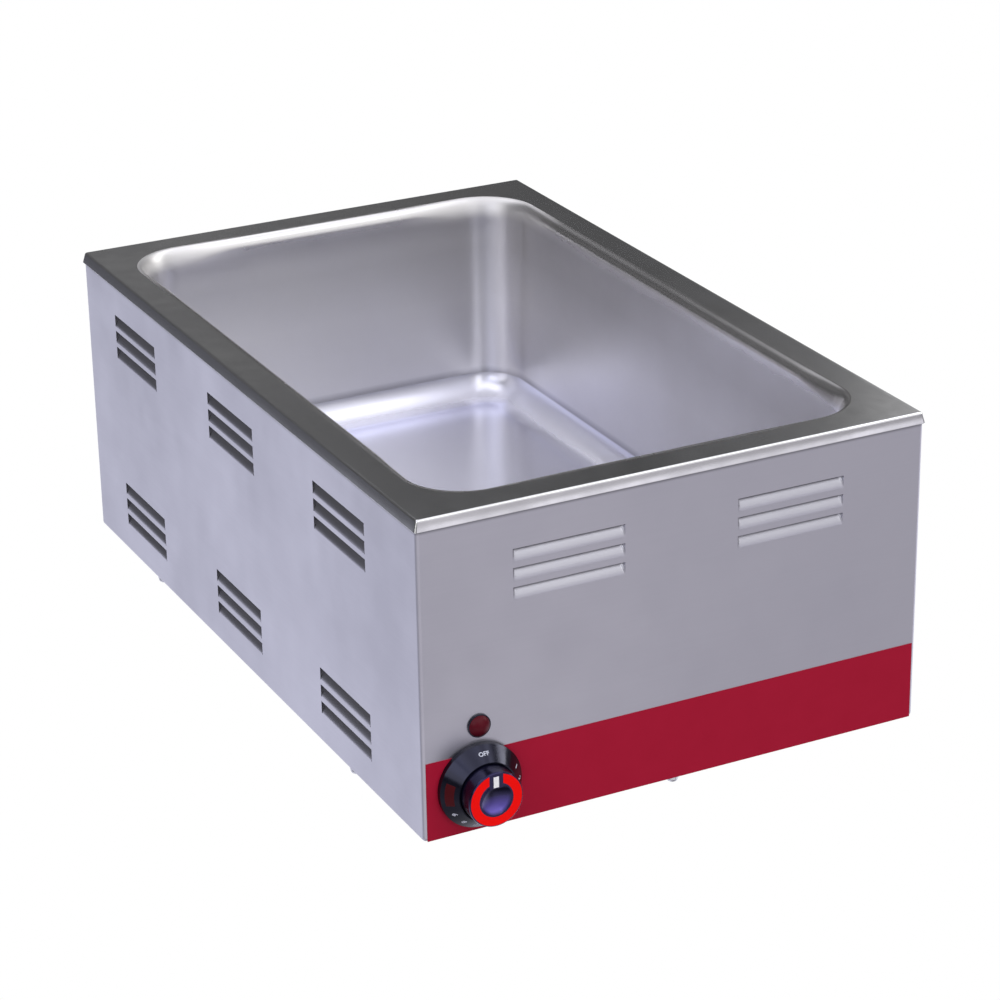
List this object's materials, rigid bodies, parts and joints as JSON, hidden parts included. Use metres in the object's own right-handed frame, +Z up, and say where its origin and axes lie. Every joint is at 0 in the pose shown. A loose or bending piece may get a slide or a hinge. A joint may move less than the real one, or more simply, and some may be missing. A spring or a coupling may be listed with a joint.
{
  "type": "food warmer",
  "caption": "Open countertop food warmer: deep pressed water well in a folded steel case with louvres, thermostat knob, lamp and rubber feet.",
  "frame": {"origin": "on the table, under the middle of the overall length and width, knob and cord inlet included", "axes": "+X to the right seen from the front, +Y to the back, +Z up; the knob is on the -Y side"},
  "size_m": [0.368, 0.6062, 0.2295],
  "materials": {
    "case_steel": "fine brushed stainless sheet",
    "well_steel": "satin drawn stainless sheet",
    "galvanised_steel": "galvanised sheet, dull",
    "red_strip": "printed red film, satin",
    "foot_rubber": "matt black rubber",
    "plated_screws": "zinc plated",
    "glass_wool": "fibrous blanket",
    "element_sheath": "heat-darkened metal sheath",
    "reflector_sheet": "bright rolled sheet",
    "copper": "drawn copper",
    "switch_plastic": "heat-resistant moulding",
    "black_plastic": "gloss black moulding",
    "red_ring": "bright red insert",
    "white_mark": "white insert",
    "lamp_red": "dark red clear lens, unlit",
    "terminal_brass": "turned brass",
    "lead_brown": "silicone sleeve",
    "lead_black": "silicone sleeve",
    "lead_blue": "silicone sleeve",
    "lead_red": "silicone sleeve",
    "lead_green": "silicone sleeve"
  },
  "bodies": {
    "cabinet": {"body_wrap": "case_steel", "back_panel": "case_steel", "bottom_cover": "galvanised_steel", "well_pan": "well_steel", "front_decal": "red_strip", "foot_front_left": "foot_rubber", "foot_front_right": "foot_rubber", "foot_rear_left": "foot_rubber", "foot_rear_right": "foot_rubber", "foot_screws": "plated_screws", "foot_nuts": "plated_screws", "bottom_screws": "plated_screws", "bottom_washers": "plated_screws", "back_screws": "plated_screws", "insulation_blanket": "glass_wool", "heating_element": "element_sheath", "element_clamps": "galvanised_steel", "pan_studs": "plated_screws", "clamp_nuts": "plated_screws", "reflector_plate": "reflector_sheet", "reflector_spacers": "plated_screws", "reflector_nuts": "plated_screws", "sensing_bulb": "copper", "bulb_clip": "galvanised_steel", "capillary_tube": "copper", "thermostat_body": "switch_plastic", "thermostat_screws": "plated_screws", "dial_bezel": "black_plastic", "lamp_housing": "black_plastic", "lamp_lens": "lamp_red", "lamp_clip": "plated_screws", "cord_gland": "black_plastic", "gland_nut": "black_plastic", "terminal_block": "switch_plastic", "terminal_screws": "terminal_brass", "block_screws": "plated_screws", "ground_stud": "terminal_brass", "ground_nut": "terminal_brass", "limit_cutout": "switch_plastic", "lead_line": "lead_brown", "lead_switched": "lead_black", "lead_limit": "lead_black", "lead_neutral": "lead_blue", "lead_lamp": "lead_red", "lead_earth": "lead_green"},
    "control_knob": {"knob_body": "black_plastic", "knob_ring": "red_ring", "knob_pointer": "white_mark", "thermostat_shaft": "plated_screws"}
  },
  "joints": [
    {"name": "knob_turn", "type": "hinge", "parent": "cabinet", "child": "control_knob", "pos_m": [-0.144, -0.27785, 0.0415], "axis": [0, 1, 0], "range_deg": [0, 285]}
  ]
}
